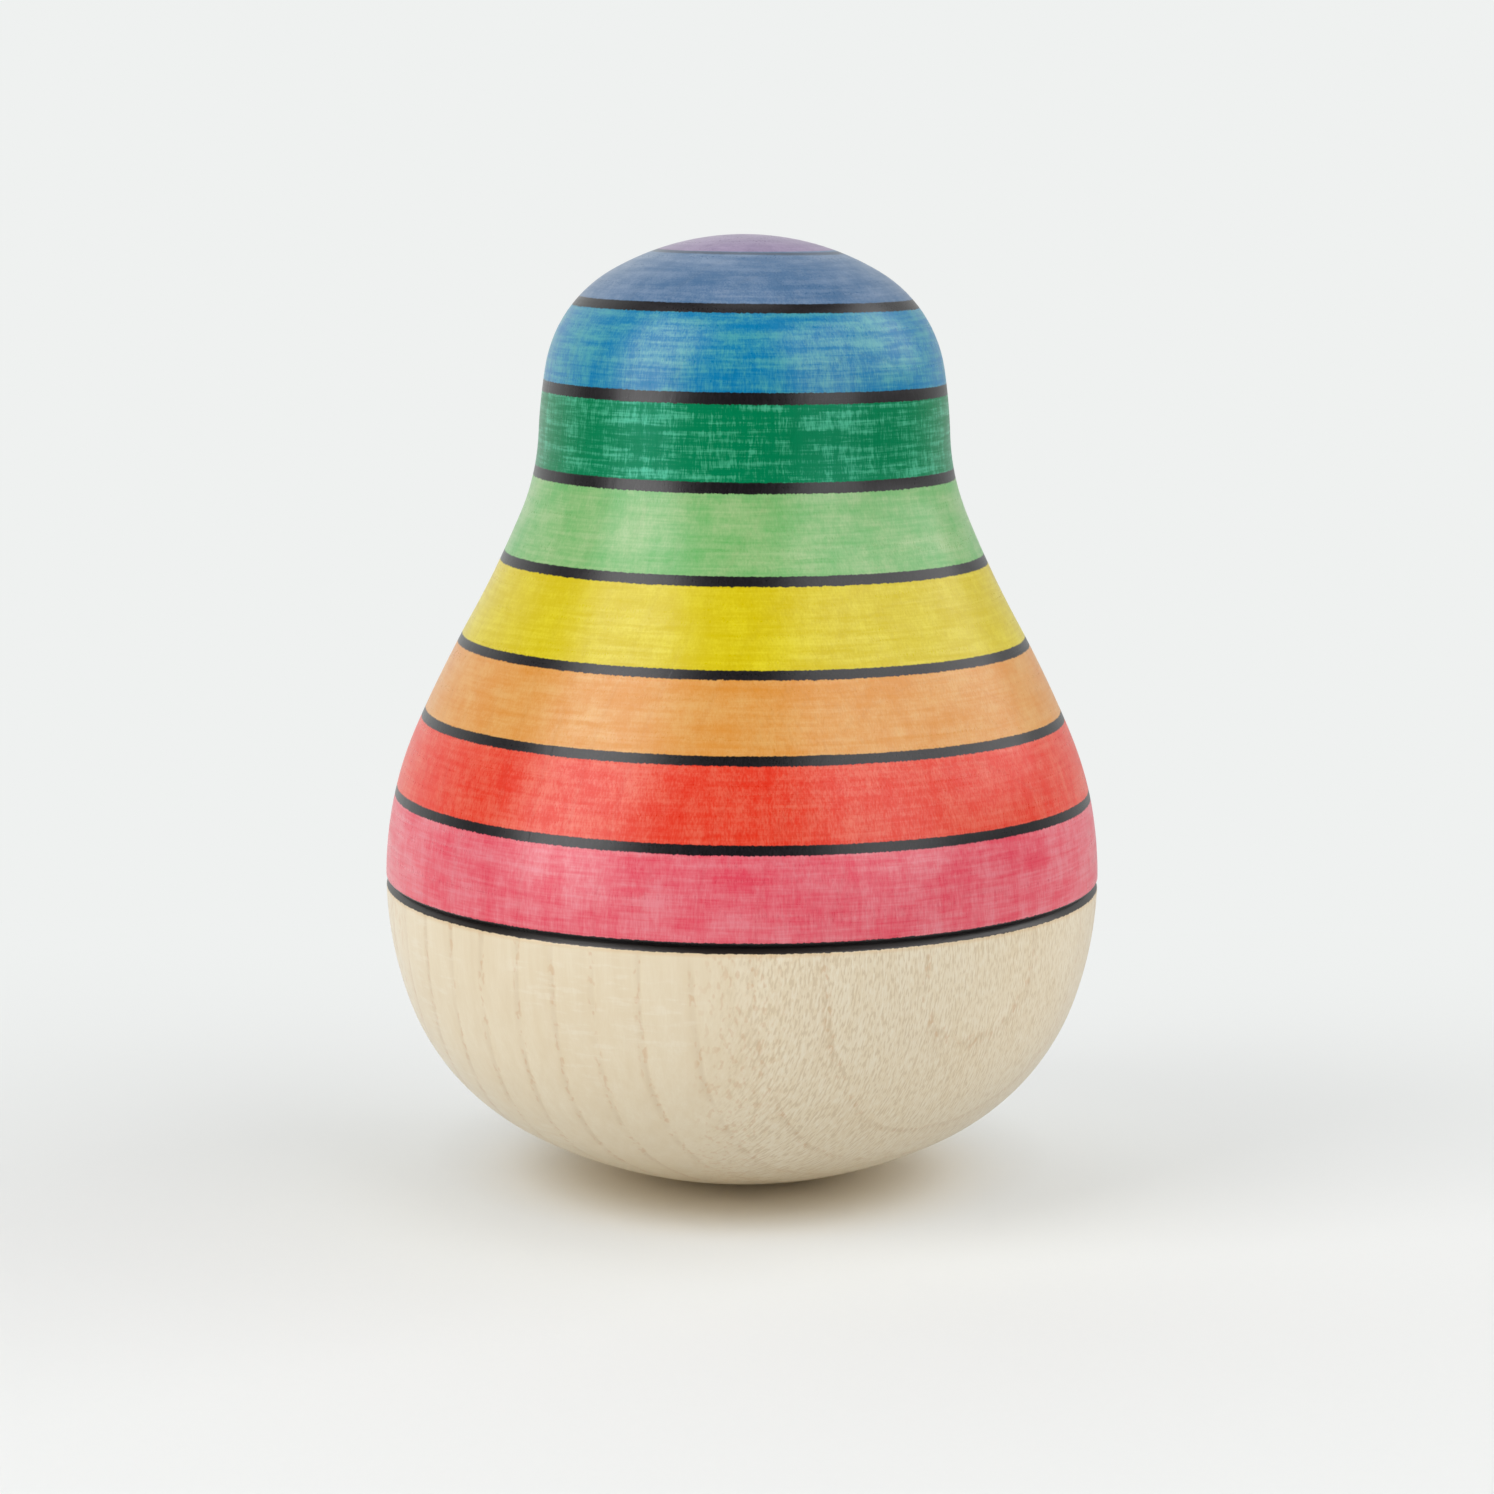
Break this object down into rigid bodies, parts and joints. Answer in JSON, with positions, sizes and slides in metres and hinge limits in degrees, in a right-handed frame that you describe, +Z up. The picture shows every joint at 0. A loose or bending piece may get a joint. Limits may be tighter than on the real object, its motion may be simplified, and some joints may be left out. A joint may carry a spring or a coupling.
{
  "type": "wobble toy",
  "caption": "Pear-shaped turned wooden roly-poly with a natural bowl, rainbow stained rings and ink lines, weighted so that it rocks, spins and rights itself.",
  "frame": {"origin": "the lowest point of the round foot, on the turning axis, where the toy touches the table", "axes": "+Z up along the turning axis to the crown; +X and +Y are level, and the flat-sawn face of the wood looks half way between +X and -Y"},
  "size_m": [0.064, 0.064, 0.0846],
  "materials": {
    "stained_maple": "turned maple, stained in rings from pink at the belly to purple at the crown, divided by ink lines, under a thin satin oil",
    "natural_maple": "unstained turned maple with fine rays and growth lines, satin oil",
    "core_steel": "plain turned steel, not polished",
    "pad_cork": "pressed cork granules",
    "plug_wood": "sawn and sanded birch disc, no finish"
  },
  "bodies": {
    "root": {"upper_body": "stained_maple", "lower_bowl": "natural_maple", "steel_core": "core_steel", "cork_pad": "pad_cork", "core_plug": "plug_wood"}
  },
  "joints": []
}
